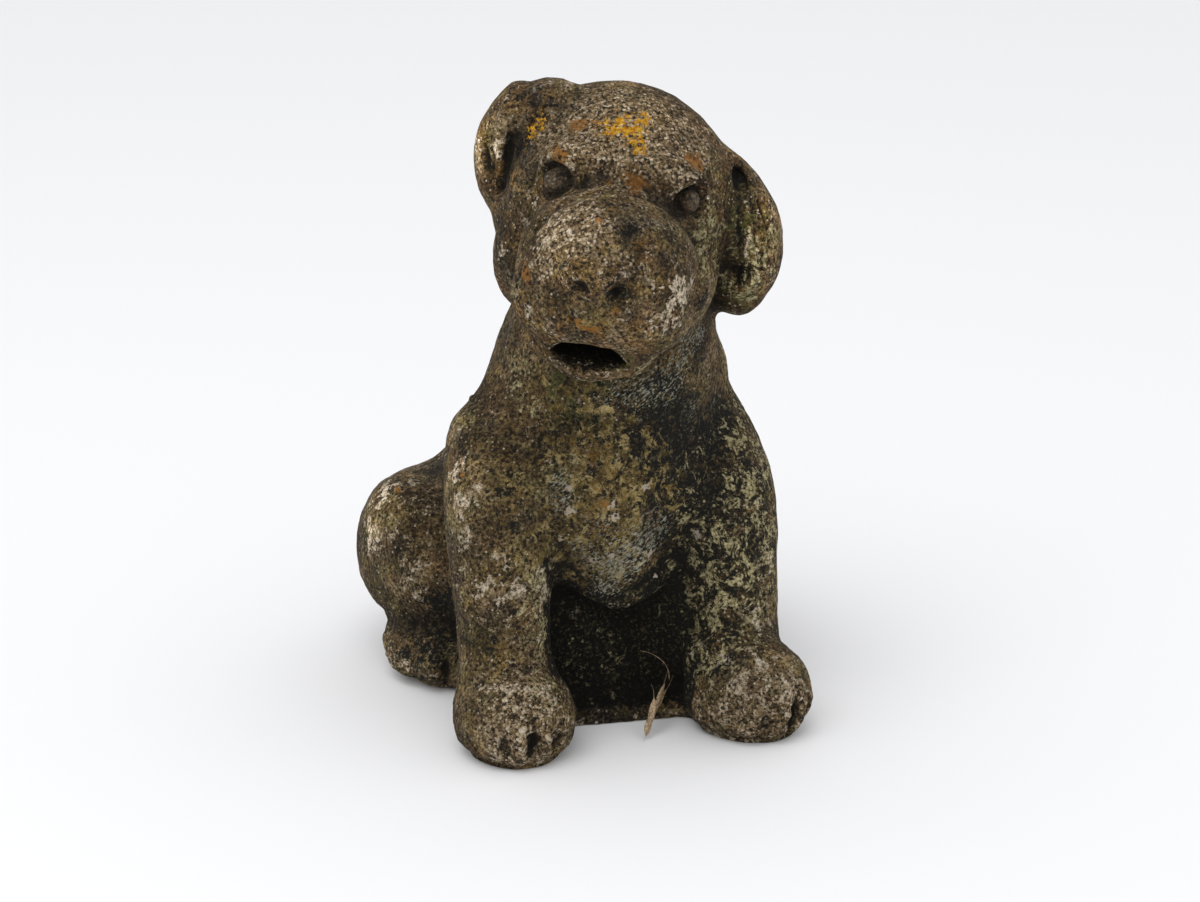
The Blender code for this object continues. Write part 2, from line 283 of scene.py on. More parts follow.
# Places of the silvery coat, partly a painted sheen, on the chest and the neck, brushed in fine strokes.
SILVER_FILM_AND_SHEEN = (
    (4, -56, 133, 9, .6), (-7, -54, 135, 7, .4), (16, -54, 134, 7, .5), (25, -50, 151, 6, .7),
    (20, -52, 142, 6, .7), (-3, -53, 66, 9, .95), (5, -54, 73, 8, .9), (-7, -49, 57, 5, .9),
    (10, -55, 81, 7, .6), (-25, -51, 101, 4.5, .8), (-13, -50, 68, 5, .6), (-19, -51, 75, 4.5, .5),
    (26, -49, 122, 5, .4), (30, -46, 151, 4, .8), (-11, -55, 85, 11, .3), (-24, -52, 93, 5, .6),
)
# Sizes of the wear in millimetres, and the pits: how many, and the range of their reach and depth.
WAVE_SIZE, SWELL_SIZE, GRIT_SIZE, STROKE_SIZE = 15, 5.5, 2.4, 1.5
PITS, PIT_REACHES, PIT_DEPTHS = 260, (0.5, 1.3), (0.3, 1.0)


def spread(where, places):
    """Union of bells: 1 less the product of what each place leaves bare."""
    bare = np.ones(len(where))
    for x, y, z, reach, strength in places:
        bare *= 1 - strength * bell(distance_from(where, (x, y, z)), reach)
    return 1 - bare


def washed(where, facing):
    """How far the grains are bare: at the places seen, and on hidden upper sides and along the foot."""
    hidden = step(where[:, 1], -20, 30)
    upper = step(facing[:, 2], 0.2, 0.9) * (0.35 + 0.5 * cloud(where, 30, 11))
    foot = step(-where[:, 2], -26, -8) * 0.7
    return np.clip(spread(where, WASHED) + hidden * np.maximum(upper, foot), 0, 1)


def weather(where, facing):
    """Height of the wear: soft waves all over, grit where the grains are bare, strokes under the silvery
    coat, and round pits as bells."""
    bare = washed(where, facing)
    feet = step(-where[:, 2], -42, -24)
    height = 0.45 * cloud(where, WAVE_SIZE, 1, 2)
    height += (0.24 + 0.75 * bare * feet) * cloud(where, SWELL_SIZE, 3, 2)
    height += (0.10 + 0.28 * bare + 0.35 * feet) * cloud(where, GRIT_SIZE, 5, 2)
    strokes = where @ np.array(((0.57, 0, 0.82), (0, 0.6, 0), (-0.82, 0, 0.57))) * (1, 1, 0.35)
    height += 0.35 * spread(where, SILVER_FILM_AND_SHEEN) * cloud(strokes, STROKE_SIZE, 15)
    draw = np.random.default_rng(8)
    chosen = draw.choice(len(where), PITS, replace=False)
    reaches, depths = draw.uniform(*PIT_REACHES, PITS), draw.uniform(*PIT_DEPTHS, PITS)
    for index, reach, depth in zip(chosen, reaches, depths):
        near = np.flatnonzero(np.abs(where - where[index]).max(1) < 3 * reach)
        height[near] -= depth * bell(distance_from(where[near], where[index]), reach)
    return height


points += weather(points, outward)[:, None] * outward


def settle(mesh, where):
    """Gives the mesh those points, held inside the casting's own box."""
    low, high = (np.array(corner) / MILLIMETRE for corner in cad_box)
    inside = np.clip(where, low + (0.002, 0.002, 0), high - 0.002)
    mesh.vertices.foreach_set("co", (inside * MILLIMETRE).astype(np.float32).ravel())
    mesh.update()


# The underside is one plane: what faces down near the ground ends on the ground.
points[:, 2] *= 1 - step(-outward[:, 2], 0.75, 0.97) * (points[:, 2] < 3)
settle(skin, points)


def thinned(mesh, faces):
    """The mesh with edges joined where it is flattest, down to the given number of triangles."""
    blank = bpy.data.objects.new("blank", mesh)
    bpy.context.scene.collection.objects.link(blank)
    thin = blank.modifiers.new("thin", "DECIMATE")
    thin.ratio = min(1.0, faces / (2 * len(mesh.polygons)))
    depsgraph = bpy.context.evaluated_depsgraph_get()
    result = bpy.data.meshes.new_from_object(blank.evaluated_get(depsgraph))
    bpy.data.objects.remove(blank)
    return result


skin = thinned(skin, SKIN_FACES)
settle(skin, points_of(skin))
skin.shade_smooth()
skin.name = "weathered_puppy"
puppy = bpy.data.objects.new("weathered_puppy", skin)
bpy.context.scene.collection.objects.link(puppy)
points, outward = points_of(skin), normals_of(skin)

# Growths: where each crust, stain and lichen sits. Every row is a place and its reach in millimetres, and
# its strength, where 1 covers the stone. Grime is a brown coat, and a shade lightens or darkens, as
# painted light and shade mixed with the stone's own tone.
# Black crust; in the nostrils, the pits of the nose and ears and between the forelegs its rows are also
# painted shade.
SOOT_AND_PAINTED_SHADE = (
    (20, -52, 120, 10, .65), (22, -51, 109, 10, .6), (32, -45, 112, 9, .65), (31, -50, 93, 9, .5),
    (11, -55, 128, 7, .5), (26, -52, 82, 9, .4), (14, -54, 113, 18, .9), (25, -52, 88, 19, .85),
    (30, -50, 63, 19, .8), (24, -43, 42, 17, .95), (11, -36, 28, 16, 1), (-4, -35, 30, 16, 1),
    (-13, -46, 51, 8, 1), (-30, -50, 64, 8, 1), (-12, -34, 14, 15, 1), (11, -37, 8, 15, 1),
    (28, -62, 32, 12, .7), (41, -38, 113, 11, .9), (49, -49, 96, 13, .6), (48, -56, 71, 13, .55),
    (44, -60, 49, 11, .4), (12, -55, 129, 8, .7), (28, -48, 144, 7, .6), (-55, 10, 35, 7, 1),
    (-62, 7, 17, 12, .75), (19.6, -65, 204.8, 7.5, .3), (-34, -26, 218, 3.5, .5), (43, -50, 172, 5, 1),
    (38, -40, 160, 5, .8), (45, -43, 208, 4, .8), (-28, -97, 181, 7, .25), (-32.4, -96, 184, 3.4, 1),
    (-19.8, -100, 183, 3.4, 1), (-33, -95, 191, 5, .6), (-17, -100, 189, 5, .3), (-13, -91, 202, 3.3, .9),
    (-25, -46, 118, 9, .5), (-41, -54, 84, 8, .35), (-45, -46, 101, 7, .3), (-52, -59, 45, 7, .3),
    (-68, 19, 50, 7, .3), (24, -62, 167, 5, .6), (-20, -33, 47, 5, .8), (-43, -74, 194, 5, .3),
    (-11, -53, 132, 7, .35), (10, -56, 99, 10, .5), (-45, -56, 92, 8, .35), (-41, -60, 50, 7, .35),
    (-55, -52, 88, 6, .3), (-8, -55, 96, 26, .45), (-49, -31, 116, 5, .3), (-27, -22, 237, 7, .35),
    (-31, -28, 222, 6, .35), (-66, 6, 22, 12, .55),
)
KHAKI = (
    (48, -42, 102, 11, .9), (48, -53, 86, 10, .9), (46, -57, 70, 13, .9), (43, -60, 49, 13, 1),
    (36, -56, 65, 13, .6), (29, -51, 48, 13, .6), (32, -63, 36, 13, .8), (29, -51, 79, 11, .35),
    (23, -45, 62, 10, .45), (7, -47, 49, 9, .3), (-4, -34, 21, 10, .35), (-16, -33, 31, 9, .35),
    (26, -48, 114, 10, .2), (50, -29, 118, 9, .7), (-34, -55, 60, 9, .9), (-31, -53, 40, 9, .8),
    (-36, -72, 28, 8, .5), (43, -49, 166, 9, 1), (48, -54, 182, 12, .75), (50, -50, 170, 8, .9),
    (26, -61, 182, 10, .8), (28, -61, 194, 7, .5), (20, -53, 97, 9, .4), (-4, -56, 115, 8, .4),
    (-25, -51, 101, 9, .4), (-33, -54, 66, 7, 1), (-31, -54, 50, 8, 1), (-28, -82, 160, 4, .6),
    (-15, -88, 159, 4, .6), (-20, -78, 149, 5, .5), (-4, -80, 150, 5, .5), (24, -57, 27, 8, .7),
    (-6, -40, 7, 7, .4), (-34, -31, 138, 6, .7), (-33, -38, 124, 7, .4),
)
OCHRE = (
    (48, -53, 180, 14, .4), (-11, -56, 105, 21, .8), (1, -57, 101, 11, .7), (-25, -52, 86, 14, .6),
    (-11, -55, 85, 18, .8), (-24, -95, 172, 5, .9), (-29, -92, 170, 5, .8), (-21, -49, 130, 10, .6),
    (-24, -49, 111, 13, .5), (4, -56, 84, 11, .5), (-38, -55, 73, 10, .5), (-3, -53, 68, 10, .5),
    (-36, -86, 168, 5, .4),
)
MOSS = (
    (48, -53, 186, 12, .45), (44, -50, 170, 6, .4), (24, -63, 189, 10, .8), (42, -52, 187, 7, .8),
    (41, -51, 200, 6, .6), (-23, -46, 137, 9, .8), (-11, -53, 136, 7, .8), (4, -55, 140, 7, .6),
    (-59, 11, 1, 8, 1), (-68, 16, 5, 6, .7), (-34, -53, 72, 7, .6), (39, -42, 165, 6, .8),
    (-22, -48, 126, 11, .6), (-11, -54, 119, 15, .62), (-20, -52, 100, 16, .55), (0, -57, 92, 12, .45),
    (-16, -35, 51, 7, .5), (-20, -32, 25, 6, .7), (31, -44, 116, 7, .3), (46, -49, 162, 5, .7),
    (-21, -74, 154, 5, .7), (-12, -81, 154, 5, .7), (0, -96, 174, 5, .4), (-60, -52, 43, 5, .5),
    (-74, 28, 44, 5, .4), (-31, -76, 17, 6, .5),
)
PALE = (
    (-71, 38, 69, 6, 1), (-75, 36, 54, 7, 1), (-70, 26, 64, 10, .2), (2, -96, 178, 7, .9),
    (-3, -97, 171, 5, .8), (8, -93, 182, 5, .7), (-33, -47, 203, 4, .9), (-35, -45, 196, 4, .6),
    (-59, -33, 102, 5, 1), (-60, -42, 92, 4.5, 1), (-58, -45, 78, 4, .6), (-38, -73, 28, 10, .3),
    (-45, -78, 12, 13, .25), (-55, -73, 27, 9, .3), (43, -84, 22, 13, .28), (39, -74, 31, 10, .25),
    (28, -77, 14, 10, .2), (53, -85, 18, 7, .4), (47, -74, 32, 7, .35), (-50, -57, 67, 8, .25),
    (-53, -54, 74, 6, .25), (-35, -23, 231, 3.3, .7), (-36, -21, 221, 2.2, .7), (33, -42, 224, 3.3, .8),
    (-45, -79, 173, 2.4, .6), (-37, -83, 165, 4, .35), (-44, -12, 216, 4, .4), (56, -54, 62, 5, .6),
    (50, -60, 41, 7, .5), (-69, 14, 11, 2.2, .8), (-64, 14, 41, 7, .4), (-62, 42, 75, 7, .4),
    (-62, -49, 66, 7, .45), (-50, -60, 54, 8, .35), (-32, -54, 60, 8, .5), (-60, -44, 84, 5, .5),
    (-20, -33, 43, 7, .2), (-37, -59, 43, 7, .25), (1, -63, 218, 5, .2), (-32, -79, 203, 13, .2),
    (-40, -10, 214, 8, .3), (-24, -86, 203, 9, .15),
)
LICHEN = (
    (0, -50, 230, 4.6, .95), (4, -53, 228, 3.8, .9), (-5, -51, 229, 3.6, .9), (2, -57, 225, 3.0, .9),
    (6, -50, 231, 2.6, .8), (-26, -31, 228, 3.6, .8), (-29, -30, 225, 2.8, .75), (-7, -48, 231, 2.2, .6),
    (1, -60, 222, 2.0, .6), (8, -47, 232, 2.0, .6),
)
RUST = (
    (-15, -43, 230, 4.6, .95), (-13, -51, 227, 2.2, .3), (23, -59, 217, 4.2, .95),
    (-1, -65, 213, 4.2, .9), (-26, -52, 222, 3.6, .8), (-45, -73, 185, 3.6, .9), (-44, -74, 188, 2.4, .8),
    (-58, -36, 101, 1.5, 1), (-57, -33, 105, 1.5, .6), (-65, 36, 73, 2.2, .9), (-25, -93, 169, 4.5, .5),
    (-21, -98, 177, 3, .4), (-32, -91, 172, 3, .5), (-19, -51, 115, 6, .25), (-11, -55, 112, 6, .25),
    (-27, -49, 215, 2.2, .4), (-11, -56, 93, 7, .2), (-2, -57, 100, 6, .15), (-14, -63, 212, 5, .3),
    (-21, -84, 207, 6, .25), (-10, -96, 196, 5, .2),
)
SPOTS = (
    (-22.5, -52.4, 97.8, 1.1, 1), (5.6, -56.6, 96.6, 1.2, 1), (-6.9, -56.3, 90.9, 1, 1),
    (-22.6, -52.6, 89.4, 1.1, 1), (-5.8, -56.2, 86.5, 1.2, 1), (-25.1, -50.5, 78.5, .9, 1),
    (-6, -53.4, 70.4, 1, 1), (-12.6, -50, 68, .9, 1), (9.3, -51.9, 69.3, 1, 1),
    (28.3, -50.1, 73.3, 1.1, 1), (-28.6, -47.7, 106.9, .9, .8), (12.8, -47.6, 58.4, .7, .8),
    (36.8, -58.4, 45.5, .7, .8),
)
GRIME = (
    (-34, -34, 215, 10, .9), (-21, -56, 213, 6, .8), (-26, -100, 189, 12, .25), (-31, -89, 168, 7, .5),
    (-13, -92, 202, 5.5, 1), (20, -65, 205, 9, .6), (-27, -51, 212, 9, .45), (-10, -97, 168, 9, .4),
    (-25, -28, 236, 9, .7), (-62, 12, 19, 14, .6), (-52, -20, 60, 14, .4), (-44, -60, 60, 8, .3),
    (-46, -40, 178, 14, .5), (-8, -86, 206, 8, .5), (48, -44, 212, 9, .5), (-4, -44, 3, 16, .7),
    (-40, -33, 118, 12, .3), (22, -50, 222, 8, .3), (14, -80, 196, 10, .6), (30, -58, 190, 8, .5),
    (-45, -79, 176, 8, .5), (-38, -86, 166, 8, .5), (-20, -50, 222, 6, .3), (-13, -102, 183, 9, .4),
)
# The stone's own lighter and darker tone, with painted light on the top of the skull and the muzzle
# and painted shade in the slit above the lip.
SHADES = (
    (12, -46, 233, 22, .42), (-16, -57, 224, 16, .2), (-36, -81, 200, 14, .25), (2, -96, 178, 9, .3),
    (-43, -13, 216, 11, 1.9), (-25, -28, 236, 8, -.9), (53, -50, 196, 10, 1.1), (50, -53, 176, 12, .6),
    (-11, -53, 132, 8, .6), (-11, -53, 116, 12, -.3), (-75, 36, 58, 7, .95), (-70, 40, 70, 7, .9),
    (-62, 12, 19, 12, .75), (-42, -32, 120, 14, .3), (5, -52, 66, 9, .4), (-59, -50, 73, 16, -.3),
    (-44, -79, 177, 8, -.2), (-66, 20, 62, 18, -.25), (38, -82, 22, 16, -.3), (-31, -53, 204, 5, .3),
    (-59, -33, 102, 8, .4), (36, -44, 148, 9, -.35), (-12, -80, 148, 8, .3), (-4, -46, 3, 12, -.4),
    (-4, -44, 9, 7, -1.5), (10, -46, 9, 6, -1.5), (-18, -44, 9, 6, -1.5), (-26, -98, 188, 9, .35),
    (-36, -88, 196, 9, .3),
)


def hollows(mesh, where, facing, rounds=6):
    """How far each point lies below the mean of its neighbours, taken over again for some rounds."""
    edges = np.empty(len(mesh.edges) * 2, np.int32)
    mesh.edges.foreach_get("vertices", edges)
    first, second = edges.reshape(-1, 2).T
    count = np.bincount(first, minlength=len(where)) + np.bincount(second, minlength=len(where))
    mean = where.copy()
    for _ in range(rounds):
        total = np.empty_like(mean)
        for axis in range(3):
            total[:, axis] = (np.bincount(first, mean[second, axis], len(where))
                              + np.bincount(second, mean[first, axis], len(where)))
        mean = total / count[:, None]
    return ((mean - where) * facing).sum(1)


# The V at the foot of the chest, as its three x and their three z.
CHEST_EDGE = ((-31, -8, 26), (70, 52, 74))


def recess(where):
    """1 in the hollow between the forelegs, below the V at the foot of the chest."""
    edge = np.interp(where[:, 0], *CHEST_EDGE)
    inside = (where[:, 0] > CHEST_EDGE[0][0] - 2) * (where[:, 0] < CHEST_EDGE[0][2])
    inside = inside * (where[:, 1] > -62) * (where[:, 1] < 20)
    return inside * step(edge + 2 * cloud(where, 5, 41) - where[:, 2], 0, 3)


def shade(where):
    """Doublings of brightness at the lighter places, halvings at the darker, as a sum of bells: the
    stone's own tone, with painted light and painted shade.
    """
    total = np.zeros(len(where))
    for x, y, z, reach, amount in SHADES:
        total += amount * bell(distance_from(where, (x, y, z)), reach)
    return total


hidden = np.maximum(step(points[:, 1], 45, 65), step(points[:, 0], -48, -30) * step(points[:, 1], -8, 12))
low_down = step(-points[:, 2], -40, -4)
downward = step(-outward[:, 2], -0.1, 0.7)
upward = step(outward[:, 2], 0.2, 0.9)
sunk, valley = hollows(skin, points, outward), hollows(skin, points, outward, 70)
lip = step(points[:, 1], -40, -43) * step(points[:, 2], 6.8, 5.4) * (np.abs(points[:, 0]) < 30)
stains = {
    "bare_grain": washed(points, outward),
    # Black crust at its places and on the hidden sides, more where they face down, and painted shade
    # in the recess between the forelegs and inside the mouth.
    "soot_and_shade": ((spread(points, SOOT_AND_PAINTED_SHADE) + recess(points) * (0.75 + 0.35 * cloud(points, 12, 43)))
             * (1 - 0.8 * lip) + in_mouth(points, 0.8)
             + hidden * (0.35 + 0.45 * cloud(points, 42, 21, 2) + 0.4 * downward)),
    "khaki": (spread(points, KHAKI) * (1 - 0.5 * recess(points))
              + hidden * (0.20 + 0.45 * cloud(points, 34, 23, 2))),
    "ochre": spread(points, OCHRE) + hidden * (0.25 + 0.5 * cloud(points, 46, 25, 2)),
    "moss": spread(points, MOSS) + hidden * (0.2 + 0.4 * cloud(points, 38, 27, 2) + 0.5 * low_down),
    "pale": (spread(points, PALE) + 0.3 * step(sunk, -0.12, -0.5)
             + hidden * (-0.05 + 0.5 * cloud(points, 24, 29, 2) + 0.15 * upward)),
    "lichen": spread(points, LICHEN),
    "rust": spread(points, RUST) + hidden * 0.35 * step(cloud(points, 12, 31), 0.55, 0.8),
    "silver_and_sheen": spread(points, SILVER_FILM_AND_SHEEN),
    "spots": spread(points, SPOTS),
    # Dirt and painted shade: near black in the small hollows of the skin, less round the eyes.
    "hollow": (step(sunk, 0.08, 0.42)
               * (1 - 0.6 * spread(points, [(*centre, 9, 1) for centre, _ in EYES]))),
    # Brown grime at its places and on the hidden sides, and painted shade in the broad hollows.
    "grime_and_shade": spread(points, GRIME) + 0.8 * step(valley, 0.3, 1.5) + hidden * 0.3,
    "warm": 0.6 + 0.4 * step(points[:, 2], 138, 165),
    "eyes": sum(step(radius - distance_from(points, centre), -0.4, 0.6) for centre, radius in EYES),
}
stains = {name: np.clip(amount, 0, 1) for name, amount in stains.items()}
# Painted shade and light: darker in the broad hollows and lighter on broad bulges.
stains["shade"] = (shade(points) + 0.45 * hidden * cloud(points, 40, 33, 2)
                   - 0.25 * np.clip(valley, -1.2, 1.2))
for name, amount in stains.items():
    layer = skin.attributes.new(name, "FLOAT", "POINT")
    layer.data.foreach_set("value", amount.astype(np.float32))

# Finish of the casting: grey-brown cement with bare sand grains, under layers of dirt and growths, with
# painted shade in hollows, gaps and recesses, a painted sheen on the silvery coat, and painted light and
# shade laid over the colour. Each scale of colours runs from its darkest tenth to its lightest.
BROWN = ((0.0, (0.013, 0.009, 0.005)), (0.15, (0.042, 0.030, 0.016)), (0.45, (0.088, 0.064, 0.034)),
         (0.75, (0.145, 0.106, 0.058)), (0.92, (0.22, 0.165, 0.093)), (1.0, (0.38, 0.30, 0.18)))
SAND = ((0.0, (0.085, 0.054, 0.025)), (0.15, (0.145, 0.094, 0.045)), (0.4, (0.225, 0.153, 0.077)),
        (0.7, (0.32, 0.23, 0.126)), (0.9, (0.45, 0.345, 0.21)), (1.0, (0.66, 0.56, 0.41)))
GRIT = ((0.0, (0.16, 0.11, 0.06)), (0.5, (0.34, 0.26, 0.16)), (1.0, (0.62, 0.54, 0.42)))
BLACK = ((0.0, (0.002, 0.002, 0.0015)), (0.6, (0.006, 0.0055, 0.004)), (0.85, (0.020, 0.018, 0.010)),
         (1.0, (0.10, 0.085, 0.042)))
CRUST = ((0.0, (0.14, 0.112, 0.046)), (0.5, (0.31, 0.262, 0.128)), (1.0, (0.56, 0.49, 0.29)))
OCHRE_CRUST = ((0.0, (0.055, 0.037, 0.010)), (0.5, (0.20, 0.14, 0.042)), (1.0, (0.42, 0.32, 0.14)))
CHALK = ((0.0, (0.27, 0.20, 0.12)), (0.5, (0.50, 0.40, 0.27)), (1.0, (0.78, 0.70, 0.57)))
ORANGE = ((0.0, (0.42, 0.15, 0.008)), (0.5, (0.72, 0.33, 0.010)), (1.0, (0.90, 0.56, 0.06)))
# The silvery coat on the chest and the neck, its pale tones partly a painted sheen.
FILM_AND_SHEEN = ((0.0, (0.030, 0.030, 0.020)), (0.5, (0.15, 0.150, 0.108)), (1.0, (0.48, 0.48, 0.38)))
EYE_TONES = ((0.0, (0.012, 0.009, 0.006)), (0.6, (0.050, 0.039, 0.026)), (1.0, (0.16, 0.128, 0.085)))
RED_TINT, OLIVE_TINT = (1.16, 0.88, 0.66, 1), (0.96, 1.0, 0.60, 1)
# The first is near black for specks, and for dirt and painted shade between grains and in air holes;
# the second is dirt and painted shade in the small hollows.
GAP, HOLLOW_DIRT_AND_SHADE = (0.012, 0.009, 0.005, 1), (0.010, 0.008, 0.005, 1)
# A brown coat of grime, also laid as painted shade in the broad hollows.
GRIME_AND_SHADE_BROWN = ((0.0, (0.014, 0.010, 0.006)), (0.7, (0.050, 0.036, 0.021)), (1.0, (0.13, 0.10, 0.06)))
MOSS_FILM, RUST_BROWN, SPOT_PINK = (0.070, 0.082, 0.020, 1), (0.30, 0.125, 0.020, 1), (0.48, 0.40, 0.30, 1)
# Sizes of the patterns in millimetres: blots of tone, crumbs and flakes of crust, then sand grains, round
# drops of crust, air holes, hairs of the silvery coat with its painted sheen, and lichen.
BROAD_SIZE, CRUMB_SIZE, FLAKE_SIZE, WORM_SIZE, SCALE_SIZE, FINE_SIZE = 17, 5.0, 5.0, 6.0, 5.5, 1.2
WARM_SIZE, OLIVE_SIZE = 11, 13
SAND_SIZE, DROP_SIZE, HOLE_SIZE, HAIR_SIZE, LICHEN_SIZE = 1.0, 1.9, 2.3, 0.7, 2.4


def new_finish(name):
    """An empty material and its node tree."""
    finish = bpy.data.materials.new(name)
    finish.use_nodes = True
    finish.node_tree.nodes.clear()
    return finish, finish.node_tree


def put(tree, kind, settings=(), **sockets):
    """A new node with its settings; each named socket takes a number, a colour or another socket."""
    node = tree.nodes.new(kind)
    for name, value in dict(settings).items():
        setattr(node, name, value)
    for name, value in sockets.items():
        socket = node.inputs[int(name[1:])] if name[0] == "_" else node.inputs[name.replace("_", " ")]
        if isinstance(value, bpy.types.NodeSocket):
            tree.links.new(value, socket)
        else:
            socket.default_value = value
    return node


def reckon(tree, operation, a, b, c=0.0):
    """One sum on two or three values."""
    return put(tree, "ShaderNodeMath", {"operation": operation}, _0=a, _1=b, _2=c).outputs[0]


def ramp(tree, value, low, high):
    """0 below low and 1 above high, smooth between."""
    node = put(tree, "ShaderNodeMapRange", {"interpolation_type": "SMOOTHSTEP"}, Value=value)
    node.inputs["From Min"].default_value = low
    node.inputs["From Max"].default_value = high
    return node.outputs["Result"]


# How far one layer of noise spreads to each side of its middle, nine parts in ten of it.
NOISE_SPREAD = 0.14 * 2.1


def blots(tree, where, size, detail, roughness, distortion=0.0):
    """Fractal noise of the given blot size in millimetres, evened out so that each tenth of its range
    covers about a tenth of the stone. Its natural spread follows from its detail and roughness."""
    node = put(tree, "ShaderNodeTexNoise", Vector=where, Scale=1000 / size, Detail=detail,
               Roughness=roughness, Distortion=distortion)
    layers = roughness ** np.arange(int(detail) + 1)
    wide = NOISE_SPREAD * math.sqrt((layers ** 2).sum()) / layers.sum()
    return ramp(tree, node.outputs[0], 0.5 - wide, 0.5 + wide)


def amount_of(tree, name):
    """The value of that name, as it lies on the skin's points."""
    return put(tree, "ShaderNodeAttribute", {"attribute_name": name}).outputs["Fac"]


def patches(tree, pattern, density, gain, least, soft):
    """Covered where the pattern and the share together pass 1. The share is the density times the gain,
    plus the least."""
    share = reckon(tree, "MULTIPLY_ADD", density, gain, least)
    return ramp(tree, reckon(tree, "ADD", pattern, share), 1.0, 1.0 + soft)


def tones(tree, value, scale):
    """The scale's colour at the value."""
    node = put(tree, "ShaderNodeValToRGB", Fac=value)
    stops = node.color_ramp.elements
    while len(stops) < len(scale):
        stops.new(0.5)
    for stop, (place, tone) in zip(stops, scale):
        stop.position, stop.color = place, (*tone, 1)
    return node.outputs["Color"]


def coat(tree, under, over, amount):
    """The under colour covered by the over colour by that amount."""
    return put(tree, "ShaderNodeMix", {"data_type": "RGBA"}, Factor=amount, _6=under, _7=over).outputs[2]


def tinted(tree, under, tint, amount):
    """The under colour multiplied by the tint by that amount."""
    return put(tree, "ShaderNodeMix", {"data_type": "RGBA", "blend_type": "MULTIPLY"},
               Factor=amount, _6=under, _7=tint).outputs[2]


def moved(tree, where, offset):
    """The same place, shifted, so that one pattern is not the copy of another."""
    node = put(tree, "ShaderNodeMapping", Vector=where)
    node.inputs["Location"].default_value = (offset, offset * 0.7, -offset * 0.4)
    return node.outputs[0]


